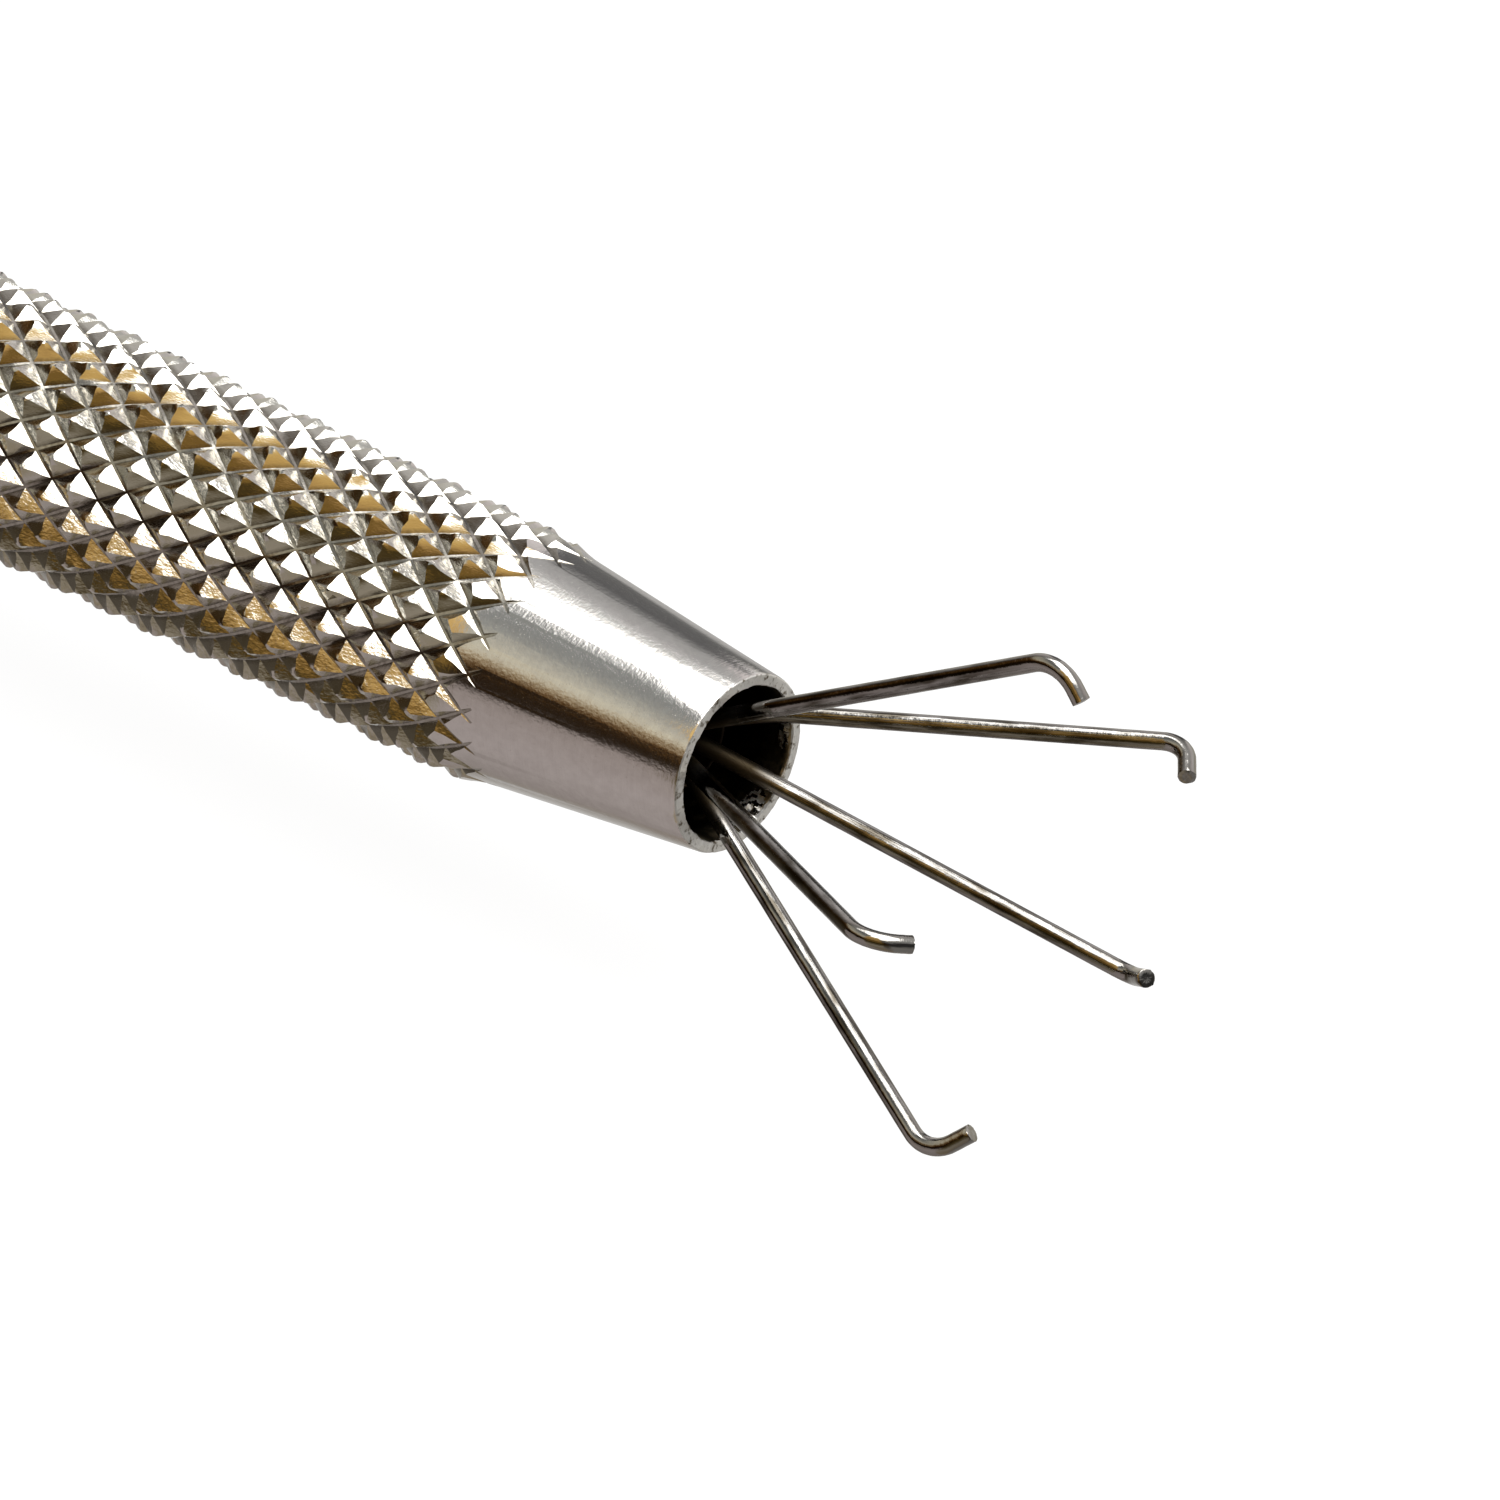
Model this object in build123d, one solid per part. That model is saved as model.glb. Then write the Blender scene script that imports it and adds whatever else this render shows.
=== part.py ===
from build123d import *
import math
import os

# Five-claw plunger pick-up tool. Millimetres. The tool's axis is X: the claws point to +X, the button to -X.
# The origin is on the axis, half way along the knurled grip. The button is held down here, so the claws stand
# out of the mouth and are open. Letting it go moves everything on the rod back by STROKE.

STROKE = 5.0
RUNNING = 0.05              # radial clearance of a shaft in its guide
FACE_GAP = 0.15             # gap between end faces that only meet at a limit of the stroke

# barrel
GRIP_LENGTH = 86.0
GRIP_R = 4.0                # over the knurl's points
NOSE_CONE = 7.61            # straight taper from the knurl to the mouth
NOSE_LENGTH = 9.3           # the taper and the turned run-out of the knurl
NOSE_BASE_R = 3.63
MOUTH_R = 2.805
MOUTH_BORE_R = 2.42
REAR_LAND = 2.7             # plain turned collar behind the grip
REAR_LAND_R = 3.5
MAIN_BORE_R = 2.9
FRONT_BORE = 20.0           # depth of the narrow front bore

MOUTH_X = GRIP_LENGTH / 2 + NOSE_LENGTH
REAR_X = -GRIP_LENGTH / 2 - REAR_LAND
SHOULDER_X = MOUTH_X - FRONT_BORE

# guides and end cap
ROD_R = 1.0
FRONT_BUSH = 4.0
SEAT_LENGTH = 3.0
SEAT_X = MOUTH_X - 59.6     # rear face of the fixed spring seat
CAP_PLUG = 6.0
CAP_FLANGE = 2.0
STEM_R = 1.8

# return spring and what it bears on
WASHER_THICKNESS = 0.4
WASHER_R = 2.7
COLLAR_LENGTH = 3.0
COLLAR_R = MAIN_BORE_R - RUNNING
SPRING_WIRE = 0.45
SPRING_MEAN_R = 2.05
SPRING_TURNS = 12

CAP_FACE_X = REAR_X + CAP_PLUG
COLLAR_REAR_X = CAP_FACE_X + FACE_GAP + STROKE
COLLAR_FRONT_X = COLLAR_REAR_X + COLLAR_LENGTH

# push button, turned in one piece with its stem
BUTTON_LENGTH = 5.8
BUTTON_R = 3.4
BUTTON_FRONT_X = REAR_X - CAP_FLANGE - FACE_GAP
BUTTON_REAR_X = BUTTON_FRONT_X - BUTTON_LENGTH
ROD_IN_BUTTON = 4.3
PIN_R = 0.4

# claws: spring wire held in a ferrule on the rod's front end
WIRE = 0.55
ROOT_DEPTH = 2.3            # how far the wires' roots lie behind the mouth
ROOT_R = 0.49               # circle that the five roots stand on
ROOT_START = 112.6          # angle of the first claw's root, from +Y towards +Z
HOOK_BEND_R = 0.75
FERRULE_R = 1.6
FERRULE_CUP_R = 1.2
FERRULE_LIP = 0.55          # how far the cup's lip stands in front of the roots
FERRULE_LENGTH = 7.6
ROOT_GAP = 0.05
ROD_IN_FERRULE = 4.0

ROOT_X = MOUTH_X - ROOT_DEPTH
CUP_FLOOR_X = ROOT_X - WIRE / 2 - ROOT_GAP
FERRULE_REAR_X = ROOT_X + FERRULE_LIP - FERRULE_LENGTH

# Each claw: place round the ferrule, then where its corner stands and where its hook ends. The corner has an
# angle from +Y towards +Z, a reach beyond the mouth and a distance from the axis. The hook goes from there
# forward and inward. The wires are bent by hand, so no two are quite alike.
CLAWS = {
    "claw_1": dict(place=0, angle=82.0, reach=11.20, radius=7.87, forward=0.97, inward=1.02),
    "claw_2": dict(place=4, angle=14.4, reach=10.98, radius=7.44, forward=0.90, inward=1.11),
    "claw_3": dict(place=3, angle=-46.1, reach=10.75, radius=7.38, forward=1.20, inward=1.16),
    "claw_4": dict(place=1, angle=163.5, reach=11.01, radius=7.55, forward=0.78, inward=1.24),
    "claw_5": dict(place=2, angle=-125.3, reach=11.19, radius=7.97, forward=1.11, inward=1.18),
}


def at(x, radius=0.0, angle=0.0):
    """A point at a station on the axis, a distance from it and an angle from +Y towards +Z."""
    a = math.radians(angle)
    return Vector(x, radius * math.cos(a), radius * math.sin(a))


def turned(points):
    """A turned piece: (station, radius) points of its outline, revolved about the axis."""
    outline = Polyline(*[(x, r, 0) for x, r in points], close=True)
    return revolve(make_face(outline), Axis.X)


def tube(front, rear, outer, inner):
    """A plain ring or tube between two stations."""
    return turned([(front, inner), (front, outer), (rear, outer), (rear, inner)])


def rod_between(front, rear, radius):
    return turned([(front, 0), (front, radius), (rear, radius), (rear, 0)])


def barrel():
    """Knurled tube with its nose turned in one piece: narrow bore in front, wide bore behind."""
    return turned([
        (MOUTH_X, MOUTH_BORE_R),
        (MOUTH_X, MOUTH_R),
        (MOUTH_X - NOSE_CONE, NOSE_BASE_R),
        (MOUTH_X - NOSE_LENGTH, GRIP_R),
        (REAR_X + REAR_LAND, GRIP_R),
        (REAR_X + REAR_LAND, REAR_LAND_R),
        (REAR_X, REAR_LAND_R),
        (REAR_X, MAIN_BORE_R),
        (SHOULDER_X, MAIN_BORE_R),
        (SHOULDER_X, MOUTH_BORE_R),
    ])


def front_guide_bush():
    """Brass bush pressed in against the barrel's shoulder. It steadies the rod behind the claws."""
    return tube(SHOULDER_X, SHOULDER_X - FRONT_BUSH, MAIN_BORE_R, ROD_R + RUNNING)


def spring_seat():
    """Brass bush pressed into the barrel: guides the rod and holds the spring's front end."""
    return tube(SEAT_X + SEAT_LENGTH, SEAT_X, MAIN_BORE_R, ROD_R + RUNNING)


def front_washer():
    """Flat washer between the spring seat and the spring."""
    return tube(SEAT_X, SEAT_X - WASHER_THICKNESS, WASHER_R, ROD_R + RUNNING)


def rear_washer():
    """Flat washer between the spring and the stop collar. The rod can spin inside it."""
    return tube(COLLAR_FRONT_X + WASHER_THICKNESS, COLLAR_FRONT_X, WASHER_R, ROD_R + RUNNING)


def return_spring():
    """Compression spring round the rod, at its length with the button held down."""
    front = SEAT_X - WASHER_THICKNESS
    rear = COLLAR_FRONT_X + WASHER_THICKNESS
    height = front - rear - SPRING_WIRE - 2 * RUNNING
    helix = Helix(pitch=height / SPRING_TURNS, height=height, radius=SPRING_MEAN_R)
    start = Plane(helix @ 0, z_dir=helix % 0)
    coil = sweep(start * Circle(SPRING_WIRE / 2), path=helix)
    return Location((rear + SPRING_WIRE / 2 + RUNNING, 0, 0), (0, 90, 0)) * coil


def stop_collar():
    """Collar pressed on the rod. It carries the spring, and meets the end cap when the button is let go."""
    return tube(COLLAR_FRONT_X, COLLAR_REAR_X, COLLAR_R, ROD_R)


def end_cap():
    """Turned plug screwed into the barrel's rear end, with a rounded flange and a hole for the button's stem."""
    edge = 0.5
    rear = REAR_X - CAP_FLANGE
    return turned([
        (CAP_FACE_X, STEM_R + RUNNING),
        (CAP_FACE_X, MAIN_BORE_R - edge / 2),
        (CAP_FACE_X - edge / 2, MAIN_BORE_R),
        (REAR_X, MAIN_BORE_R),
        (REAR_X, REAR_LAND_R),
        (rear + edge, REAR_LAND_R),
        (rear, REAR_LAND_R - edge),
        (rear, STEM_R + RUNNING),
    ])


def plunger_rod():
    """Straight ground rod from the ferrule to the button."""
    return rod_between(FERRULE_REAR_X + ROD_IN_FERRULE, BUTTON_FRONT_X - ROD_IN_BUTTON, ROD_R)


def push_button():
    """Thumb button with a domed head, a grip groove and a stem that runs through the end cap."""
    groove = 0.35
    groove_x = BUTTON_FRONT_X - 1.4
    dome = 1.1
    dome_x = BUTTON_REAR_X + dome
    edge = 0.3
    dome_r = (BUTTON_R ** 2 + dome ** 2) / (2 * dome)
    half = math.asin(BUTTON_R / dome_r) / 2
    crown = ThreePointArc(
        (dome_x, BUTTON_R),
        (BUTTON_REAR_X + dome_r * (1 - math.cos(half)), dome_r * math.sin(half)),
        (BUTTON_REAR_X, 0),
    )
    side = Polyline(
        (BUTTON_REAR_X, 0),
        (COLLAR_REAR_X, 0),
        (COLLAR_REAR_X, STEM_R),
        (BUTTON_FRONT_X, STEM_R),
        (BUTTON_FRONT_X, BUTTON_R - edge),
        (BUTTON_FRONT_X - edge, BUTTON_R),
        (groove_x, BUTTON_R),
        (groove_x - groove, BUTTON_R - groove),
        (groove_x - 2 * groove, BUTTON_R),
        (dome_x, BUTTON_R),
    )
    head = revolve(make_face(side + crown), Axis.X)
    hole = rod_between(COLLAR_REAR_X, BUTTON_FRONT_X - ROD_IN_BUTTON, ROD_R)
    return head - hole - cross_pin_hole()


def cross_pin_hole():
    """The hole through the button's head and the rod for the cross pin."""
    pin_x = BUTTON_FRONT_X - ROD_IN_BUTTON + 1.2
    return Pos(pin_x, 0, 0) * Cylinder(PIN_R, 2 * BUTTON_R + 1)


def button_pin():
    """Cross pin pressed through the head and the rod, its ends flush with the head."""
    pin_x = BUTTON_FRONT_X - ROD_IN_BUTTON + 1.2
    return Pos(pin_x, 0, 0) * Cylinder(PIN_R, 2 * BUTTON_R - 0.2)


def claw_ferrule():
    """Crimped sleeve on the rod's front end. The wires stand in its cup."""
    lip_x = ROOT_X + FERRULE_LIP
    edge = 0.2
    return turned([
        (CUP_FLOOR_X, 0),
        (CUP_FLOOR_X, FERRULE_CUP_R),
        (lip_x, FERRULE_CUP_R + edge / 2),
        (lip_x, FERRULE_R - edge),
        (lip_x - edge, FERRULE_R),
        (FERRULE_REAR_X + edge, FERRULE_R),
        (FERRULE_REAR_X, FERRULE_R - edge),
        (FERRULE_REAR_X, ROD_R),
        (FERRULE_REAR_X + ROD_IN_FERRULE, ROD_R),
        (FERRULE_REAR_X + ROD_IN_FERRULE, 0),
    ])


def claw_points(bend):
    """The root, the sharp corner and the hook's end of one claw's centre line."""
    root = at(ROOT_X, ROOT_R, ROOT_START + 72 * bend["place"])
    corner = at(MOUTH_X + bend["reach"], bend["radius"], bend["angle"])
    end = at(MOUTH_X + bend["reach"] + bend["forward"], bend["radius"] - bend["inward"], bend["angle"])
    return root, corner, end


def claw(bend):
    """One hooked wire: a straight leg from the ferrule, one tight bend and a short hook cut square."""
    root, corner, end = claw_points(bend)
    path = FilletPolyline(root, corner, end, radius=HOOK_BEND_R)
    section = Plane(root, z_dir=corner - root) * Circle(WIRE / 2)
    return sweep(section, path=path) + Pos(*root) * Sphere(WIRE / 2)


PIECES = {
    "barrel": barrel(),
    "front_guide_bush": front_guide_bush(),
    "spring_seat": spring_seat(),
    "front_washer": front_washer(),
    "return_spring": return_spring(),
    "rear_washer": rear_washer(),
    "stop_collar": stop_collar(),
    "end_cap": end_cap(),
    "plunger_rod": plunger_rod() - cross_pin_hole(),
    "push_button": push_button(),
    "button_pin": button_pin(),
    "claw_ferrule": claw_ferrule(),
}
for name, bend in CLAWS.items():
    PIECES[name] = claw(bend)

os.makedirs("parts", exist_ok=True)
for name, piece in PIECES.items():
    export_step(piece, f"parts/{name}.step")
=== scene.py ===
import math
import random

import bmesh
import bpy
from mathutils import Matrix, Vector, noise


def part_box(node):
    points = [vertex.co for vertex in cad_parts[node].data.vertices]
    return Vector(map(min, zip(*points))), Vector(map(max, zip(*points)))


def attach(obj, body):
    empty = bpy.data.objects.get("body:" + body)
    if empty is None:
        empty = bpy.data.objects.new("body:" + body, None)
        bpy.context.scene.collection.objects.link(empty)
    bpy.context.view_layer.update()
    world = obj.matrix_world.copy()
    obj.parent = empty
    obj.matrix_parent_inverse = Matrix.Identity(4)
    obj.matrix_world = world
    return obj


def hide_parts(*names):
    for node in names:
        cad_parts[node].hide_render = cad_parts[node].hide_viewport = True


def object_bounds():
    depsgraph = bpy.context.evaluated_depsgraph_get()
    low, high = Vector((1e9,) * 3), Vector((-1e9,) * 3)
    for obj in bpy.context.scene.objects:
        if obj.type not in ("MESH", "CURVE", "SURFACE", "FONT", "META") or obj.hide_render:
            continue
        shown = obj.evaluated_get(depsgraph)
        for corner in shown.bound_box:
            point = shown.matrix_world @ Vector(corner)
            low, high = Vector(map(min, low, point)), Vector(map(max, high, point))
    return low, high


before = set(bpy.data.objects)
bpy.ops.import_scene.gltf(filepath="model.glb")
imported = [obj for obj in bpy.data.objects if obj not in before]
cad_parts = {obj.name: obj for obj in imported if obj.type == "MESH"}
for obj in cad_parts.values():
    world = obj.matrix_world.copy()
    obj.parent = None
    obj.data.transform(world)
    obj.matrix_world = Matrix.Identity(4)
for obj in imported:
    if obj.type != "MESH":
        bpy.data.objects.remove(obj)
cad_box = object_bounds()

MM = 0.001
scene = bpy.context.scene
scene.view_settings.view_transform = "Standard"

# Camera. A long lens looks down at the claws from the front left, so that the mouth's inside shows and the
# handle runs out of the picture behind. The mouth's centre is the front of the barrel, on the axis.
MOUTH_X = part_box("barrel")[1].x
mouth = Vector((MOUTH_X, 0, 0))
azimuth = math.radians(40.89)
elevation = math.radians(32.79)
distance = 522.9 * MM
right = Vector((math.cos(azimuth), math.sin(azimuth), 0))
back = Vector((
    math.sin(azimuth) * math.cos(elevation),
    -math.cos(azimuth) * math.cos(elevation),
    math.sin(elevation),
))
up = back.cross(right)
aim = mouth + 0.33 * MM * right + 0.41 * MM * up
camera = bpy.data.objects.new("camera", bpy.data.cameras.new("camera"))
scene.collection.objects.link(camera)
camera.data.lens = 430.2
camera.data.clip_start = 0.01
camera.location = aim + distance * back
camera.rotation_euler = back.to_track_quat("Z", "Y").to_euler()
scene.camera = camera


# Light. A wide soft box overhead with warm walls and dark gaps round it, as a small workshop's light tent
# gives. Bright metal shows nothing but this, so it is drawn here by height and by bearing from the tool.
class Field:
    """A value on its way through a shader: arithmetic on it adds Math nodes."""

    def __init__(self, shader, socket):
        self.shader = shader
        self.socket = socket

    def math(self, operation, first, second):
        return self.shader.add("Math", {"operation": operation}, {0: first, 1: second})

    def __add__(self, other):
        return self.math("ADD", self, other)

    def __sub__(self, other):
        return self.math("SUBTRACT", self, other)

    def __rsub__(self, other):
        return self.math("SUBTRACT", other, self)

    def __mul__(self, other):
        return self.math("MULTIPLY", self, other)

    __radd__ = __add__
    __rmul__ = __mul__


class Shader:
    """The node tree of a material or of the world. add() makes every node in it."""

    def __init__(self, owner):
        self.owner = owner
        owner.use_nodes = True
        self.tree = owner.node_tree
        self.tree.nodes.clear()

    def add(self, kind, settings=None, values=None, output=0):
        """Makes a node: its settings first, then a number, a colour or a field for each of its sockets."""
        node = self.tree.nodes.new("ShaderNode" + kind)
        for name, value in (settings or {}).items():
            if name == "stops":
                self.place_stops(node.color_ramp.elements, value)
            else:
                setattr(node, name, value)
        for name, value in (values or {}).items():
            if isinstance(value, Field):
                self.tree.links.new(value.socket, node.inputs[name])
            else:
                node.inputs[name].default_value = value
        return Field(self, node.outputs[output]) if node.outputs else None

    def place_stops(self, ramp, stops):
        while len(ramp) < len(stops):
            ramp.new(1.0)
        for element, (place, colour) in zip(ramp, stops):
            element.position = place
            element.color = (*colour, 1.0)

    def mix(self, share, first, second):
        return self.add("Mix", {"data_type": "RGBA"}, {0: share, 6: first, 7: second}, output=2)


def studio():
    world = bpy.data.worlds.new("studio")
    scene.world = world
    shader = Shader(world)
    way = shader.add("TexCoord")
    tall = shader.add("SeparateXYZ", values={0: way}, output=2)
    height = 0.5 * tall + 0.5

    def by_height(stops):
        placed = [(0.5 + 0.5 * math.sin(math.radians(angle)), colour) for angle, colour in stops]
        return shader.add("ValToRGB", {"stops": placed}, {"Fac": height})

    def towards(bearing, half, soft):
        """1 within half degrees of a bearing, and 0 from soft degrees further on."""
        ahead = (math.cos(math.radians(bearing)), math.sin(math.radians(bearing)), 0)
        flat = shader.add("VectorMath", {"operation": "MULTIPLY"}, {0: way, 1: (1, 1, 0)})
        flat = shader.add("VectorMath", {"operation": "NORMALIZE"}, {0: flat})
        along = shader.add("VectorMath", {"operation": "DOT_PRODUCT"}, {0: flat, 1: ahead}, output=1)
        edges = {"From Min": math.cos(math.radians(half + soft)), "From Max": math.cos(math.radians(half))}
        return shader.add("MapRange", {"interpolation_type": "SMOOTHSTEP"}, {"Value": along, **edges})

    white = (5.5, 5.5, 5.5)
    rear = by_height([
        (-90, (0.26, 0.20, 0.14)),
        (-55, (0.30, 0.27, 0.25)),
        (-30, (0.14, 0.125, 0.105)),
        (-16, (0.105, 0.09, 0.065)),
        (-6, (0.07, 0.05, 0.03)),
        (4, (0.06, 0.035, 0.01)),
        (12, (0.04, 0.02, 0.003)),
        (20, (0.06, 0.04, 0.02)),
        (38, (0.20, 0.19, 0.17)),
        (50, (0.42, 0.42, 0.41)),
        (59, white),
    ])
    front = by_height([
        (-90, (0.34, 0.28, 0.20)),
        (-25, (0.37, 0.33, 0.27)),
        (-12, (0.18, 0.15, 0.10)),
        (-4, (0.09, 0.06, 0.02)),
        (9, (0.06, 0.04, 0.012)),
        (14, (0.30, 0.18, 0.045)),
        (24, (0.20, 0.11, 0.025)),
        (31, (0.56, 0.34, 0.12)),
        (46, (0.82, 0.53, 0.17)),
        (59, (1.05, 0.76, 0.32)),
        (66, white),
    ])
    left = by_height([
        (-90, (0.40, 0.36, 0.35)),
        (-40, (0.46, 0.41, 0.405)),
        (-4, (0.39, 0.335, 0.32)),
        (1, (0.020, 0.012, 0.006)),
        (15, (0.020, 0.009, 0.003)),
        (21, (0.15, 0.07, 0.018)),
        (26, (0.50, 0.39, 0.24)),
        (31, (0.80, 0.75, 0.60)),
        (42, (0.62, 0.60, 0.52)),
        (54, (0.34, 0.35, 0.34)),
        (64, (0.24, 0.25, 0.25)),
        (69, (0.60, 0.60, 0.60)),
        (73, white),
    ])
    behind = by_height([
        (-90, (0.38, 0.34, 0.33)),
        (-50, (0.34, 0.30, 0.29)),
        (-37, (0.12, 0.105, 0.09)),
        (-16, (0.085, 0.07, 0.05)),
        (-4, (0.06, 0.045, 0.025)),
        (14, (0.04, 0.02, 0.005)),
        (21, (0.15, 0.07, 0.018)),
        (31, (0.80, 0.75, 0.60)),
        (42, (0.62, 0.60, 0.52)),
        (54, (0.34, 0.35, 0.34)),
        (64, (0.24, 0.25, 0.25)),
        (69, (0.60, 0.60, 0.60)),
        (73, white),
    ])
    beyond = by_height([
        (-90, (0.42, 0.40, 0.38)),
        (-33, (0.66, 0.65, 0.64)),
        (-14, (0.56, 0.52, 0.44)),
        (0, (0.66, 0.64, 0.58)),
        (15, (0.92, 0.90, 0.90)),
        (31, (0.84, 0.78, 0.79)),
        (47, (0.56, 0.56, 0.56)),
        (57, (0.80, 0.80, 0.80)),
        (61, white),
    ])
    gap = by_height([
        (-90, (0.42, 0.40, 0.38)),
        (-12, (0.50, 0.49, 0.48)),
        (-2, (0.15, 0.15, 0.15)),
        (21, (0.12, 0.12, 0.125)),
        (32, (0.46, 0.46, 0.46)),
        (47, (0.48, 0.48, 0.49)),
        (54, (0.62, 0.62, 0.62)),
        (58.5, white),
    ])
    aside = by_height([
        (-90, (0.34, 0.33, 0.32)),
        (-20, (0.30, 0.29, 0.28)),
        (0, (0.05, 0.05, 0.05)),
        (24, (0.06, 0.06, 0.06)),
        (36, (0.46, 0.46, 0.46)),
        (50, (0.62, 0.62, 0.62)),
        (59, white),
    ])
    seen = shader.mix(towards(-80, half=20, soft=8), rear, front)
    seen = shader.mix(towards(-137, half=33, soft=8), seen, left)
    seen = shader.mix(towards(-171, half=11, soft=5), seen, behind)
    seen = shader.mix(towards(73, half=62, soft=45), seen, beyond)
    seen = shader.mix(towards(120.5, half=4.5, soft=4), seen, gap)
    seen = shader.mix(towards(-6, half=30, soft=12), seen, aside)
    reflected = shader.add("Background", values={"Color": seen})
    plain = shader.add("Background", values={"Color": (1.0, 1.0, 1.0, 1.0)})
    ray = shader.add("LightPath")
    shown = shader.add("MixShader", values={0: ray, 1: reflected, 2: plain})
    shader.add("OutputWorld", values={"Surface": shown})


studio()


# Floor. A pale sheet of light paper, as far below the axis as the highest hook stands above it, so that
# the claws turn round clear of it. It glows evenly by itself, so it hardly takes a shadow.
def light_paper():
    shader = Shader(bpy.data.materials.new("paper"))
    sheet = shader.add("BsdfDiffuse", values={"Color": (0.08, 0.08, 0.08, 1.0)})
    glow = shader.add("Emission", values={"Color": (1.0, 1.0, 1.0, 1.0), "Strength": 0.95})
    lit = shader.add("AddShader", values={0: sheet, 1: glow})
    clear = shader.add("BsdfTransparent")
    ray = shader.add("LightPath")
    shown = shader.add("MixShader", values={0: ray, 1: clear, 2: lit})
    shader.add("OutputMaterial", values={"Surface": shown})
    return shader.owner


floor_z = -cad_box[1][2] - 0.4 * MM
floor_size = 3.0
bpy.ops.mesh.primitive_plane_add(size=floor_size, location=(0, 0, floor_z))
floor = bpy.context.object
floor.name = "floor"
floor.data.materials.append(light_paper())

# Barrel. One steel tube: knurled all along by two crossing sets of grooves, then turned at the nose and the
# mouth, so that the grooves run out on the taper. It is nickel plated, and its bore is painted almost black
# as painted shade.
GRIP_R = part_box("barrel")[1].z
KNURL_DEPTH = 0.40 * MM
KNURL_PITCH = 1.84 * MM
KNURL_ROUND = 19                # pyramids round the bar
KNURL_PHASE = math.radians(146.02)
KNURL_ROW = 17.74 * MM          # how far behind the mouth one ring of pyramids is centred
NOSE_CONE = 7.61 * MM
NOSE_LENGTH = 9.3 * MM
NOSE_BASE_R = 3.63 * MM
MOUTH_R = 2.805 * MM
MOUTH_BORE_R = 2.42 * MM
BORE_STEP = 20.0 * MM
MAIN_BORE_R = 2.9 * MM
REAR_LAND = 2.7 * MM
REAR_LAND_R = 3.5 * MM
REAR_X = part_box("barrel")[0].x
PLATED, TORN, TURNED, RIM, BORE = range(5)


def knurled_bar():
    """A closed bar with the knurl on it: narrow grooves round pyramids with ragged edges and flat tips.

    The wheel leaves the other sides of a pyramid clean, and tears the side that faces the nose."""
    random.seed(7)
    # shares of a cell: half the groove's flat bottom and half the flattened tip, then how far a whole
    # peak strays, how far the edges of its sides do, and how far those of its foot and its tip do
    flat = 0.040
    tip = 0.075
    astray = 0.014
    ragged = 0.020
    crisp = 0.004
    # in mm: how much a peak falls short, how much a groove's depth varies, and how rough the metal is
    short = 0.014
    uneven = 0.006
    rough = 0.005
    # the sides take up most of the height, and the tip is slightly domed above them
    crown = 0.92
    levels = (0.0, 0.34, 0.68, 1.0)
    corners = ((-1, -1), (0, -1), (1, -1), (1, 0), (1, 1), (0, 1), (-1, 1), (-1, 0))
    row_x = MOUTH_X - KNURL_ROW
    reach = 3 * KNURL_PITCH
    first = math.floor((REAR_X - reach - row_x) / (KNURL_PITCH / 2))
    last = math.ceil((MOUTH_X + reach - row_x) / (KNURL_PITCH / 2))
    mesh = bmesh.new()
    cells = {}

    def point(i, j, du, dv, radius):
        turn = KNURL_PHASE + (i + j + 1 + du + dv) / 2 * 2 * math.pi / KNURL_ROUND
        x = row_x + (i - j + du - dv) / 2 * KNURL_PITCH
        return mesh.verts.new((x, radius * math.cos(turn), radius * math.sin(turn)))

    for step in range(first, last + 1):
        for k in range(KNURL_ROUND):
            i, j = k, k - step
            slip = [random.gauss(0, astray) for _ in range(2)]
            high = GRIP_R - abs(random.gauss(0, short)) * MM
            low = GRIP_R - KNURL_DEPTH + random.gauss(0, uneven) * MM
            rings = []
            for level in levels:
                half = (0.5 - flat) * (1 - level) + tip * level
                stray = ragged if 0 < level < 1 else crisp
                ring = []
                for a, b in corners:
                    du = slip[0] * level + a * half + random.gauss(0, stray)
                    dv = slip[1] * level + b * half + random.gauss(0, stray)
                    radius = low + (high - low) * level * crown + random.gauss(0, rough) * MM
                    ring.append(point(i, j, du, dv, radius))
                rings.append(ring)
            peak = point(i, j, slip[0], slip[1], high)
            cells[step, k] = rings[0]
            for n in range(8):
                m = (n + 1) % 8
                for lower, upper in zip(rings, rings[1:]):
                    side = mesh.faces.new((lower[n], lower[m], upper[m], upper[n]))
                    side.material_index = TORN if n < 2 else PLATED
                mesh.faces.new((rings[-1][n], rings[-1][m], peak))

    def cell(step, k):
        return cells.get((step, k % KNURL_ROUND))

    for (step, k), here in list(cells.items()):
        ahead = cell(step + 1, k + 1)
        beside = cell(step - 1, k)
        across = cell(step, k + 1)
        if ahead:
            mesh.faces.new((here[2], ahead[0], ahead[7], here[3]))
            mesh.faces.new((here[3], ahead[7], ahead[6], here[4]))
        if beside:
            mesh.faces.new((here[6], here[5], beside[1], beside[0]))
            mesh.faces.new((here[5], here[4], beside[2], beside[1]))
        if ahead and beside:
            mesh.faces.new((here[4], ahead[6], across[0], beside[2]))
    rims = [e for e in mesh.edges if len(e.link_faces) == 1]
    middle = (REAR_X + MOUTH_X) / 2
    ends = {side: mesh.verts.new((middle + side * (MOUTH_X - REAR_X), 0, 0)) for side in (-1, 1)}
    for rim in rims:
        a, b = rim.verts
        mesh.faces.new((a, b, ends[1 if a.co.x > middle else -1]))
    bmesh.ops.recalc_face_normals(mesh, faces=mesh.faces)
    return mesh


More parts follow.
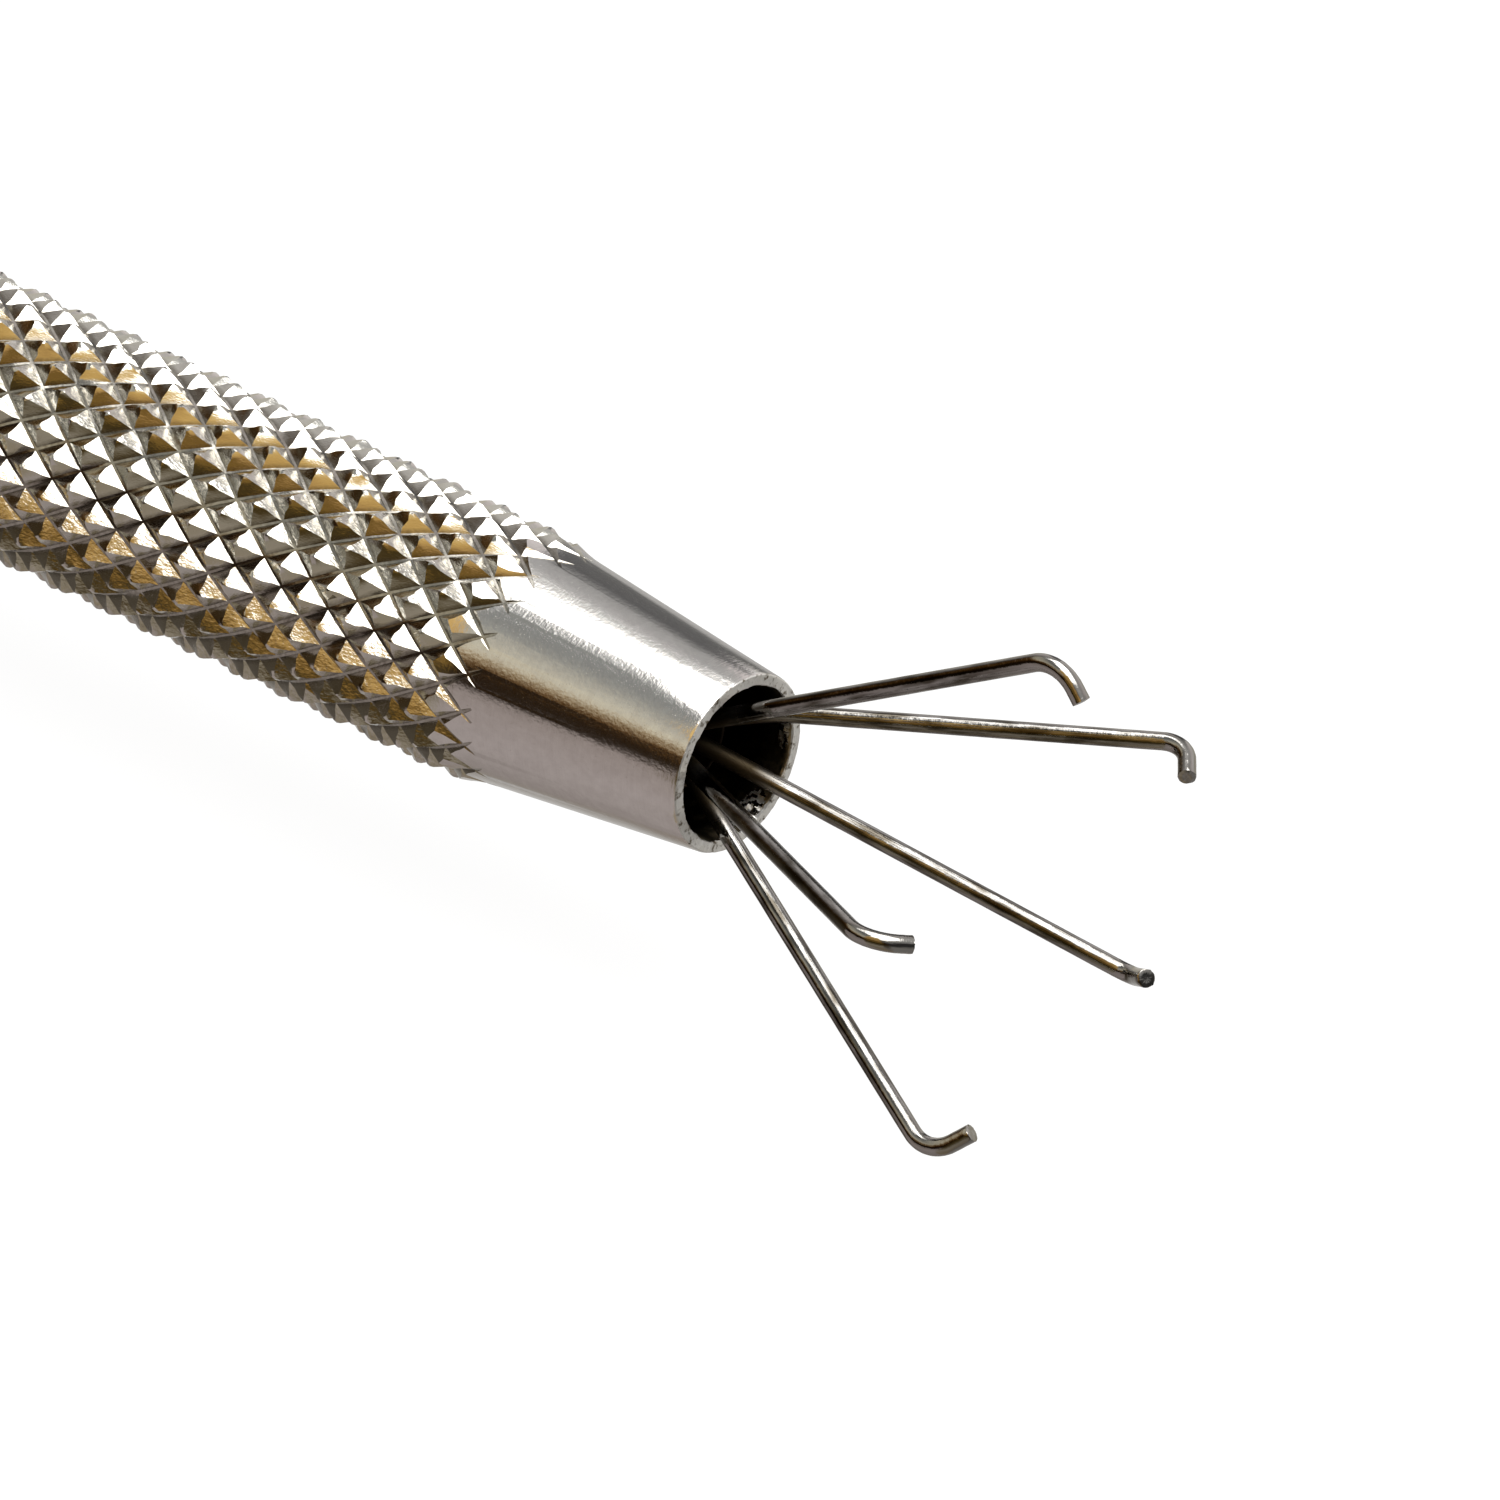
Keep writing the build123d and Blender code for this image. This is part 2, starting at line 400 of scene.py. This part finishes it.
def turned_blank():
    """What the lathe and the drill leave: the outside a little over the grip, the turned nose, and the bore.

    The mouth's edge is nicked, and a burr stands just inside it."""
    random.seed(11)
    around = 288
    shy = 0.004 * MM            # how far the mouth's edge stays behind its full length
    clear = 0.3 * MM            # how far the blank stands off where the knurl isn't turned away

    def wander(spread):
        """A random line round the blank, smoothed over as many steps each way as spread says."""
        raw = [random.gauss(0, 1) for _ in range(around)]
        span = range(-spread, spread + 1)
        return [sum(raw[(n + d) % around] for d in span) / len(span) ** 0.5 for n in range(around)]

    waves = wander(6)

    # the run-out: from outside the knurl, the tool curves in to the nose's cone
    cone_x = MOUTH_X - NOSE_CONE
    rise_x = MOUTH_X - NOSE_LENGTH - clear
    steps = 7
    slope = (NOSE_BASE_R - MOUTH_R) / NOSE_CONE
    flare = GRIP_R + clear * 0.75 - NOSE_BASE_R - slope * (cone_x - rise_x)
    nose = []
    for n in range(steps):
        back = 1 - n / steps
        x = cone_x + (rise_x - cone_x) * back
        nose.append((x, NOSE_BASE_R + slope * (cone_x - x) + flare * back ** 2, 0, 0, TURNED))

    def burr(x, turn):
        """The metal torn up just inside the mouth: a heap low down, and a thinner one at the side."""
        deep = (MOUTH_X - x) / MM
        heap = math.exp(-((turn - math.radians(292)) / 0.26) ** 2 - ((deep - 0.42) / 0.34) ** 2)
        thin = math.exp(-(math.sin((turn + 0.05) / 2) / 0.12) ** 2 - ((deep - 0.28) / 0.20) ** 2)
        return heap + 0.8 * thin

    def lump(x, turn):
        """The burr's lumps, about a sixth of a millimetre across."""
        lump_size = 0.17 * MM
        place = Vector((x, MOUTH_BORE_R * math.cos(turn), MOUTH_BORE_R * math.sin(turn)))
        return noise.noise(place / lump_size)

    # close rings just inside the mouth, for the burr
    throat = []
    for n in range(1, 17):
        throat.append((MOUTH_X - 0.35 * MM - n * 0.08 * MM, MOUTH_BORE_R, 0, 0, BORE))
    # station, radius, how far in mm nicks and waves move it back and outward, and which surface starts there
    rings = [
        (REAR_X, MAIN_BORE_R, 0, 0, TURNED),
        (REAR_X, REAR_LAND_R - 0.15 * MM, 0, 0, TURNED),
        (REAR_X + 0.15 * MM, REAR_LAND_R, 0, 0, TURNED),
        (REAR_X + REAR_LAND, REAR_LAND_R, 0, 0, TURNED),
        (REAR_X + REAR_LAND + 0.05 * MM, GRIP_R + clear, 0, 0, PLATED),
        *nose,
        (cone_x, NOSE_BASE_R, 0, 0, TURNED),
        (MOUTH_X - 2.0 * MM, MOUTH_R + slope * 2.0 * MM, 0, 0, TURNED),
        (MOUTH_X - 0.12 * MM, MOUTH_R + slope * 0.12 * MM, 0, 0.002, TURNED),
        (MOUTH_X - 0.04 * MM, MOUTH_R - 0.012 * MM, 0.002, 0.004, RIM),
        (MOUTH_X - shy, MOUTH_R - 0.055 * MM, 0.005, 0.006, RIM),
        (MOUTH_X - shy, MOUTH_R - 0.17 * MM, 0.009, 0.004, RIM),
        (MOUTH_X - shy, MOUTH_BORE_R + 0.13 * MM, 0.009, 0.006, RIM),
        (MOUTH_X - shy, MOUTH_BORE_R + 0.04 * MM, 0.006, 0.010, RIM),
        (MOUTH_X - 0.05 * MM, MOUTH_BORE_R + 0.01 * MM, 0.006, 0.010, BORE),
        (MOUTH_X - 0.12 * MM, MOUTH_BORE_R, 0, 0.006, BORE),
        (MOUTH_X - 0.20 * MM, MOUTH_BORE_R, 0, 0.003, BORE),
        (MOUTH_X - 0.28 * MM, MOUTH_BORE_R, 0, 0, BORE),
        (MOUTH_X - 0.35 * MM, MOUTH_BORE_R, 0, 0, BORE),
        *throat,
        (MOUTH_X - BORE_STEP, MOUTH_BORE_R, 0, 0, BORE),
        (MOUTH_X - BORE_STEP, MAIN_BORE_R, 0, 0, BORE),
    ]
    mesh = bmesh.new()
    loops = []
    for x, radius, along, out, surface in rings:
        loop = []
        nicks = wander(2)
        for n in range(around):
            turn = 2 * math.pi * n / around
            r = radius + out * MM * (nicks[n] + 1.2 * waves[n])
            if surface == BORE:
                r -= burr(x, turn) * (0.07 + 0.09 * lump(x, turn)) * MM
            behind = abs(along * MM * (0.7 * nicks[n] + waves[n - 9]))
            loop.append(mesh.verts.new((x - behind, r * math.cos(turn), r * math.sin(turn))))
        loops.append(loop)
    for k, loop in enumerate(loops):
        after = loops[(k + 1) % len(loops)]
        for n in range(around):
            m = (n + 1) % around
            face = mesh.faces.new((loop[n], loop[m], after[m], after[n]))
            x, _, _, _, surface = rings[k]
            turn = 2 * math.pi * n / around
            if surface == BORE and burr(x, turn) > 0.25:
                surface = TORN if lump(x, turn) > 0 else RIM
            face.material_index = surface
    bmesh.ops.recalc_face_normals(mesh, faces=mesh.faces)
    return mesh


def stand(name, mesh, materials):
    """Makes an object of a mesh in the making and gives it its materials."""
    data = bpy.data.meshes.new(name)
    mesh.to_mesh(data)
    mesh.free()
    for material in materials:
        data.materials.append(material)
    thing = bpy.data.objects.new(name, data)
    scene.collection.objects.link(thing)
    return thing


def cut(piece, tool, operation):
    """Cuts a piece with a tool, which is then taken away, and keeps the edges crisp."""
    boolean = piece.modifiers.new("cut", "BOOLEAN")
    boolean.operation = operation
    boolean.solver = "EXACT"
    boolean.object = tool
    graph = bpy.context.evaluated_depsgraph_get()
    mesh = bpy.data.meshes.new_from_object(piece.evaluated_get(graph))
    piece.modifiers.clear()
    piece.data = mesh
    bpy.data.objects.remove(tool)
    mesh.shade_smooth()
    mesh.set_sharp_from_angle(angle=math.radians(24))


def on_piece(shader):
    """Places on the piece itself, in mm."""
    place = shader.add("TexCoord", output=3)
    return shader.add("VectorMath", {"operation": "SCALE"}, {0: place, "Scale": 1 / MM})


def grain(shader, place, stretch, detail=3.0):
    """Noise, drawn out or squeezed along each axis. stretch is the number of marks to the millimetre."""
    stretched = shader.add("Mapping", values={"Vector": place, "Scale": stretch})
    return shader.add("TexNoise", values={"Vector": stretched, "Scale": 1.0, "Detail": detail})


def between(shader, value, start, end):
    """0 up to the start, rising to 1 at the end. The start may be the higher of the two."""
    return shader.add("MapRange", values={"Value": value, "From Min": start, "From Max": end})


def finish(shader, colour, rough, height, strength, deep):
    """The metal itself, under what varies over it. deep is the depth of its marks in millimetres."""
    bump = shader.add("Bump", values={"Strength": strength, "Distance": deep * MM, "Height": height})
    metal = {"Base Color": colour, "Metallic": 1.0, "Roughness": rough, "Normal": bump}
    shader.add("OutputMaterial", values={"Surface": shader.add("BsdfPrincipled", values=metal)})
    return shader.owner


def plated_knurl():
    """Nickel over cut grooves: faint drag marks on each facet, and painted shade with some dirt in the
    grooves.
    """
    shader = Shader(bpy.data.materials.new("plated_knurl"))
    place = on_piece(shader)
    cloud = grain(shader, place, (7.0, 7.0, 7.0), 4.0)
    drag = grain(shader, place, (9.0, 26.0, 26.0))
    across = shader.add("VectorMath", {"operation": "MULTIPLY"}, {0: place, 1: (0, 1, 1)})
    radius = shader.add("VectorMath", {"operation": "LENGTH"}, {0: across}, output=1)
    # painted shade with some dirt: from three quarters of the knurl's depth down, the grooves darken to
    # brown in cloudy patches
    low = between(shader, radius, (GRIP_R - 0.75 * KNURL_DEPTH) / MM, (GRIP_R - 0.95 * KNURL_DEPTH) / MM)
    colour = shader.mix(low * (0.15 + 0.7 * cloud), (0.61, 0.59, 0.54, 1.0), (0.13, 0.105, 0.07, 1.0))
    return finish(shader, colour, 0.06 + 0.09 * cloud + 0.08 * low, drag + 0.7 * cloud, 0.18, 0.02)


def torn_side():
    """The torn side of the knurl's pyramids: the same plating over metal that was dragged and smeared."""
    shader = Shader(bpy.data.materials.new("torn_side"))
    place = on_piece(shader)
    smear = grain(shader, place, (7.0, 11.0, 11.0), 5.0)
    blot = grain(shader, place, (5.0, 5.0, 5.0), 4.0)
    colour = shader.mix(blot, (0.74, 0.715, 0.66, 1.0), (0.36, 0.335, 0.28, 1.0))
    return finish(shader, colour, 0.06 + 0.14 * blot, smear, 0.55, 0.035)


def turned_nickel():
    """The turned nose: fine tool marks run round it and blur what it mirrors, with a few pits."""
    shader = Shader(bpy.data.materials.new("turned_nickel"))
    place = on_piece(shader)
    ring = grain(shader, place, (26.0, 0.9, 0.9))
    cloud = grain(shader, place, (3.2, 3.2, 3.2), 5.0)
    frost = grain(shader, place, (8.0, 8.0, 8.0))
    pit = between(shader, grain(shader, place, (24.0, 24.0, 24.0), 2.0), 0.70, 0.78)
    tone = shader.mix(0.7 * cloud + 0.3 * ring, (0.80, 0.78, 0.74, 1.0), (0.56, 0.53, 0.50, 1.0))
    colour = shader.mix(pit * 0.6, tone, (0.30, 0.26, 0.20, 1.0))
    rough = 0.09 + 0.06 * ring + 0.06 * cloud
    height = ring + 0.5 * cloud - pit + 2.5 * frost
    return finish(shader, colour, rough, height, 0.2, 0.01)


def faced_rim():
    """The mouth's edge, faced off and then knocked about: matt, light and full of small dark nicks."""
    shader = Shader(bpy.data.materials.new("faced_rim"))
    nicks = grain(shader, on_piece(shader), (5.0, 5.0, 5.0), 4.0)
    nick = between(shader, nicks, 0.54, 0.68)
    colour = shader.mix(nick, (0.76, 0.75, 0.72, 1.0), (0.16, 0.13, 0.09, 1.0))
    return finish(shader, colour, 0.34 + 0.3 * nicks, nicks, 0.7, 0.05)


def painted_shade_bore():
    """The drilled inside: unplated, with faint brown patches, painted almost black as painted shade, and
    paler near the mouth as painted light.
    """
    shader = Shader(bpy.data.materials.new("painted_shade_bore"))
    place = on_piece(shader)
    ring = grain(shader, place, (7.0, 0.7, 0.7))
    spots = grain(shader, place, (1.4, 1.4, 1.4))
    spot = between(shader, spots, 0.52, 0.70)
    along = shader.add("SeparateXYZ", values={0: place})
    # painted light: over the last millimetre before the mouth the bore pales to tan, in patches
    painted_mouth_light = between(shader, along, MOUTH_X / MM - 1.1, MOUTH_X / MM - 0.2)
    # painted shade: the bore's colour is almost black, with faint brown patches
    colour = shader.mix(spot * ring, (0.010, 0.009, 0.007, 1.0), (0.20, 0.15, 0.07, 1.0))
    colour = shader.mix(painted_mouth_light * (0.35 + 0.65 * spot), colour, (0.60, 0.50, 0.34, 1.0))
    return finish(shader, colour, 0.22 + 0.3 * ring, ring + spots, 0.5, 0.03)


barrel_metals = [plated_knurl(), torn_side(), turned_nickel(), faced_rim(), painted_shade_bore()]
barrel = stand("knurled_barrel", knurled_bar(), barrel_metals)
cut(barrel, stand("blank", turned_blank(), barrel_metals), "INTERSECT")
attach(barrel, "barrel")
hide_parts("barrel")


# Guides and collar. Two brass bushes are pressed into the barrel: the front one guides the rod, and the
# rear one is the spring's seat. The collar on the rod takes the spring's push. All are turned from bar.
def give_metal(node, material):
    """Gives a piece of the CAD model its metal."""
    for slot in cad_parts[node].material_slots:
        slot.material = material


def turned_brass():
    shader = Shader(bpy.data.materials.new("turned_brass"))
    place = on_piece(shader)
    ring = grain(shader, place, (14.0, 1.2, 1.2))
    stain = grain(shader, place, (1.1, 1.1, 1.1), 5.0)
    colour = shader.mix(stain, (0.80, 0.61, 0.31, 1.0), (0.50, 0.34, 0.14, 1.0))
    return finish(shader, colour, 0.20 + 0.18 * ring, ring, 0.35, 0.02)


brass = turned_brass()
for turned in ("front_guide_bush", "spring_seat", "stop_collar"):
    give_metal(turned, brass)


# Rod, cross pin and washers. Plain steel: the rod and the pin are ground, and the washers are stamped
# from sheet. The pin holds the button on the rod, and a washer lies at each end of the spring.
def ground_steel():
    shader = Shader(bpy.data.materials.new("ground_steel"))
    place = on_piece(shader)
    along = grain(shader, place, (1.5, 22.0, 22.0))
    cloud = grain(shader, place, (0.8, 0.8, 0.8), 5.0)
    colour = shader.mix(cloud, (0.68, 0.67, 0.65, 1.0), (0.44, 0.42, 0.39, 1.0))
    return finish(shader, colour, 0.18 + 0.2 * along, along, 0.3, 0.01)


steel = ground_steel()
for plain in ("plunger_rod", "button_pin", "front_washer", "rear_washer"):
    give_metal(plain, steel)


# Return spring. Hard-drawn steel wire, coiled cold, with a thin film of grease that dulls it in patches.
# It slips over the rod, between its two washers, and pushes the claws back in.
def spring_steel():
    shader = Shader(bpy.data.materials.new("spring_steel"))
    place = on_piece(shader)
    drawn = grain(shader, place, (4.0, 9.0, 9.0))
    film = grain(shader, place, (0.9, 0.9, 0.9), 4.0)
    colour = shader.mix(film, (0.56, 0.55, 0.53, 1.0), (0.26, 0.24, 0.20, 1.0))
    return finish(shader, colour, 0.16 + 0.3 * film, drawn, 0.3, 0.01)


give_metal("return_spring", spring_steel())

# End cap. Turned steel, nickel plated like the nose, and screwed into the barrel's rear end. The button's
# stem runs through it.
give_metal("end_cap", barrel_metals[TURNED])

# Thumb button. Turned from one steel bar and nickel plated: a domed head with a groove round it, and a
# stem that is drilled for the rod. The cross pin goes through a hole in the head.
BUTTON_REAR_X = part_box("push_button")[0].x
BUTTON_FRONT_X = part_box("end_cap")[0].x - 0.15 * MM
BUTTON_R = 3.4 * MM
BUTTON_CHAMFER = 0.3 * MM
DOME = 1.1 * MM
GROOVE = 0.35 * MM
GROOVE_BACK = 1.4 * MM
STEM_R = 1.8 * MM
STEM_END_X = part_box("push_button")[1].x
ROD_HOLE_R = 1.0 * MM
ROD_HOLE_BACK = 4.3 * MM
PIN_R = 0.4 * MM
PIN_BACK = 3.1 * MM


def lathe(name, outline, around=96):
    """A turned piece. The outline is (station, radius) pairs, from one end's centre to the other's."""
    mesh = bmesh.new()
    loops = []
    for x, r in outline:
        if r:
            turns = [2 * math.pi * n / around for n in range(around)]
            loops.append([mesh.verts.new((x, r * math.cos(t), r * math.sin(t))) for t in turns])
        else:
            loops.append([mesh.verts.new((x, 0, 0))] * around)
    for here, after in zip(loops, loops[1:]):
        for n in range(around):
            m = (n + 1) % around
            mesh.faces.new(dict.fromkeys((here[n], here[m], after[m], after[n])))
    bmesh.ops.recalc_face_normals(mesh, faces=mesh.faces)
    return stand(name, mesh, [barrel_metals[TURNED]])


def button_outline():
    """From the middle of the dome, over the groove and along the stem, to the bottom of the rod's hole."""
    dome_r = (BUTTON_R ** 2 + DOME ** 2) / (2 * DOME)
    widest = math.asin(BUTTON_R / dome_r)
    steps = 24
    outline = [(BUTTON_REAR_X, 0)]
    for n in range(1, steps + 1):
        a = widest * n / steps
        outline.append((BUTTON_REAR_X + dome_r * (1 - math.cos(a)), dome_r * math.sin(a)))
    groove_x = BUTTON_FRONT_X - GROOVE_BACK
    outline += [
        (groove_x - 2 * GROOVE, BUTTON_R),
        (groove_x - GROOVE, BUTTON_R - GROOVE),
        (groove_x, BUTTON_R),
        (BUTTON_FRONT_X - BUTTON_CHAMFER, BUTTON_R),
        (BUTTON_FRONT_X, BUTTON_R - BUTTON_CHAMFER),
        (BUTTON_FRONT_X, STEM_R),
        (STEM_END_X, STEM_R),
        (STEM_END_X, ROD_HOLE_R),
        (BUTTON_FRONT_X - ROD_HOLE_BACK, ROD_HOLE_R),
        (BUTTON_FRONT_X - ROD_HOLE_BACK, 0),
    ]
    return outline


button = lathe("turned_button", button_outline())
bit = bmesh.new()
bmesh.ops.create_cone(bit, cap_ends=True, segments=32, radius1=PIN_R, radius2=PIN_R, depth=3 * BUTTON_R)
drill = stand("drill", bit, [barrel_metals[BORE]])
drill.location = (BUTTON_FRONT_X - PIN_BACK, 0, 0)
cut(button, drill, "DIFFERENCE")
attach(button, "plunger")
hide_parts("push_button")


# Ferrule. A steel sleeve on the rod's front end, crimped round the claws' roots and brazed. It is painted
# almost black, with dark brown patches, as painted shade inside the mouth. It moves with the rod, and stands
# just inside the mouth while the claws are out.
def painted_shade_black():
    shader = Shader(bpy.data.materials.new("painted_shade_black"))
    patches = grain(shader, on_piece(shader), (2.5, 2.5, 2.5), 5.0)
    # painted shade: the sleeve is almost black, in dark brown patches
    colour = shader.mix(patches, (0.015, 0.013, 0.012, 1.0), (0.13, 0.10, 0.07, 1.0))
    return finish(shader, colour, 0.35 + 0.3 * patches, patches, 0.6, 0.04)


give_metal("claw_ferrule", painted_shade_black())

# Claws. Five lengths of hard-drawn spring wire. Each leaves the ferrule, splays out through the mouth, and
# ends in a hook that was bent by hand with pliers and nipped off square, so no two are alike.
WIRE_R = 0.275 * MM
ROOT_DEPTH = 2.3 * MM
ROOT_R = 0.49 * MM
ROOT_START = 112.6
# place round the ferrule; the hook's corner: angle, reach beyond the mouth and distance from the axis;
# how far the hook goes on forward and inward from it; the bend's radius; and how far the wire strays at
# the mouth
CLAWS = {
    "claw_1": dict(place=0, angle=82.0, reach=11.20, radius=7.87, forward=0.97, inward=1.02, bend=1.25),
    "claw_2": dict(place=4, angle=14.4, reach=10.98, radius=7.44, forward=0.90, inward=1.11, bend=0.90,
                   stray=(0.17, 0.35)),
    "claw_3": dict(place=3, angle=-46.1, reach=10.75, radius=7.38, forward=1.20, inward=1.16, bend=0.85),
    "claw_4": dict(place=1, angle=163.5, reach=11.01, radius=7.55, forward=0.78, inward=1.24, bend=1.60),
    "claw_5": dict(place=2, angle=-125.3, reach=11.19, radius=7.97, forward=1.11, inward=1.18, bend=1.15),
}


def on_circle(x, radius, degrees):
    a = math.radians(degrees)
    return Vector((x, radius * math.cos(a), radius * math.sin(a)))


def claw_line(claw):
    """The wire's centre line, from inside the ferrule to the tip of the hook."""
    root = on_circle(MOUTH_X - ROOT_DEPTH, ROOT_R, ROOT_START + 72 * claw["place"])
    corner = on_circle(MOUTH_X + claw["reach"] * MM, claw["radius"] * MM, claw["angle"])
    tip = on_circle(
        MOUTH_X + (claw["reach"] + claw["forward"]) * MM,
        (claw["radius"] - claw["inward"]) * MM,
        claw["angle"],
    )
    throat = root.lerp(corner, ROOT_DEPTH / (corner.x - root.x))
    throat += Vector((0, *claw.get("stray", (0, 0)))) * MM
    straight = throat.lerp(corner, 0.03)
    leg = (corner - straight).normalized()
    hook = (tip - corner).normalized()
    line = []

    # a gentle curve from the root until the wire is clear of the mouth, then the straight leg
    lead = (straight - root) * 0.3
    follow = straight - leg * 1.0 * MM
    curve_steps = 16
    for n in range(curve_steps):
        t = n / curve_steps
        s = 1 - t
        early = s ** 3 * root + 3 * s * s * t * (root + lead)
        line.append(early + 3 * s * t * t * follow + t ** 3 * straight)

    # the bend is a circle's arc that touches both the leg and the hook
    half = leg.angle(hook) / 2
    bend = claw["bend"] * MM
    longest = 0.72 * (tip - corner).length
    touch = min(bend * math.tan(half), longest)
    bend = touch / math.tan(half)
    out = (leg - hook).normalized()
    centre = corner - out * bend / math.cos(half)
    start = corner - leg * touch
    leg_steps = 18
    for n in range(leg_steps):
        line.append(straight.lerp(start, n / leg_steps))
    side = (start - centre).normalized()
    bend_steps = 14
    for n in range(bend_steps + 1):
        angle = 2 * half * n / bend_steps
        line.append(centre + bend * (side * math.cos(angle) + leg * math.sin(angle)))
    arc_end = line[-1]
    hook_steps = 4
    for n in range(1, hook_steps + 1):
        line.append(arc_end.lerp(tip, n / hook_steps))
    return line


def drawn_wire(name, line, material):
    """A round wire along a line, with a nipped and slightly burred tip.

    Each point keeps its place on the wire, with its distance from the root in mm, for the metal's marks."""
    around = 28
    mesh = bmesh.new()
    rings = []
    places = []
    normal = None
    run = 0.0

    def ring(middle, ways, radius, burr=0.0):
        loop = []
        for n in range(around):
            turn = 2 * math.pi * n / around
            r = radius * (1 + random.gauss(0, burr))
            loop.append(mesh.verts.new(middle + r * (ways[0] * math.cos(turn) + ways[1] * math.sin(turn))))
            places.append((run / MM, math.cos(turn), math.sin(turn)))
        rings.append(loop)

    for n, middle in enumerate(line):
        way = (line[min(n + 1, len(line) - 1)] - line[max(n - 1, 0)]).normalized()
        if normal is None:
            normal = way.orthogonal().normalized()
        normal = (normal - way * normal.dot(way)).normalized()
        ways = (normal, way.cross(normal))
        if n:
            run += (middle - line[n - 1]).length
        if n == len(line) - 1:
            ring(middle - way * 0.05 * MM, ways, WIRE_R * 1.01, 0.01)
            ring(middle - way * 0.01 * MM, ways, WIRE_R * 0.99, 0.03)
            ring(middle, ways, WIRE_R * 0.90, 0.03)
            ring(middle + way * 0.015 * MM, ways, WIRE_R * 0.45, 0.06)
            cap = mesh.verts.new(middle - way * 0.02 * MM)
        else:
            ring(middle, ways, WIRE_R * (1 + 0.006 * math.sin(9 * n)))
    for lower, upper in zip(rings, rings[1:]):
        for n in range(around):
            m = (n + 1) % around
            mesh.faces.new((lower[n], lower[m], upper[m], upper[n]))
    for n in range(around):
        mesh.faces.new((rings[-1][n], rings[-1][(n + 1) % around], cap))
    mesh.faces.new(list(reversed(rings[0])))
    places.append((run / MM, 0, 0))
    bmesh.ops.recalc_face_normals(mesh, faces=mesh.faces)
    piece = stand(name, mesh, [material])
    drawn = piece.data.attributes.new("drawn", "FLOAT_VECTOR", "POINT")
    for item, value in zip(drawn.data, places):
        item.vector = value
    piece.data.shade_smooth()
    piece.data.set_sharp_from_angle(angle=math.radians(40))
    return piece


def spring_wire():
    """Drawn wire, darkly polished: long draw marks, brown stains, bright worn metal at the hook, painted
    shade at the root.
    """
    shader = Shader(bpy.data.materials.new("spring_wire"))
    place = shader.add("Attribute", {"attribute_name": "drawn", "attribute_type": "GEOMETRY"}, output=1)
    marks = grain(shader, place, (0.8, 9.0, 9.0), 4.0)
    stain = grain(shader, place, (0.8, 1.7, 1.7), 4.0)
    along = shader.add("SeparateXYZ", values={0: place})
    worn = between(shader, along + 1.5 * stain, 13.0, 15.6)
    dark = between(shader, stain, 0.38, 0.64)
    colour = shader.mix(dark, (0.33, 0.32, 0.305, 1.0), (0.08, 0.07, 0.055, 1.0))
    colour = shader.mix(worn * 0.6, colour, (0.42, 0.40, 0.37, 1.0))
    # painted shade: within about 3.5 mm of the root, inside the mouth, the wire darkens to dark brown and
    # dulls
    painted_root_shade = between(shader, along + 0.5 * stain, 3.5, 2.3)
    colour = shader.mix(painted_root_shade, colour, (0.075, 0.058, 0.035, 1.0))
    wavy = grain(shader, place, (4.0, 1.1, 1.1))
    return finish(shader, colour, 0.04 + 0.07 * marks + 0.45 * painted_root_shade, 0.25 * marks + wavy, 0.45, 0.02)


random.seed(23)
claw_metal = spring_wire()
for name, claw in CLAWS.items():
    wire = drawn_wire(name + "_wire", claw_line(claw), claw_metal)
    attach(wire, name)
    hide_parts(name)
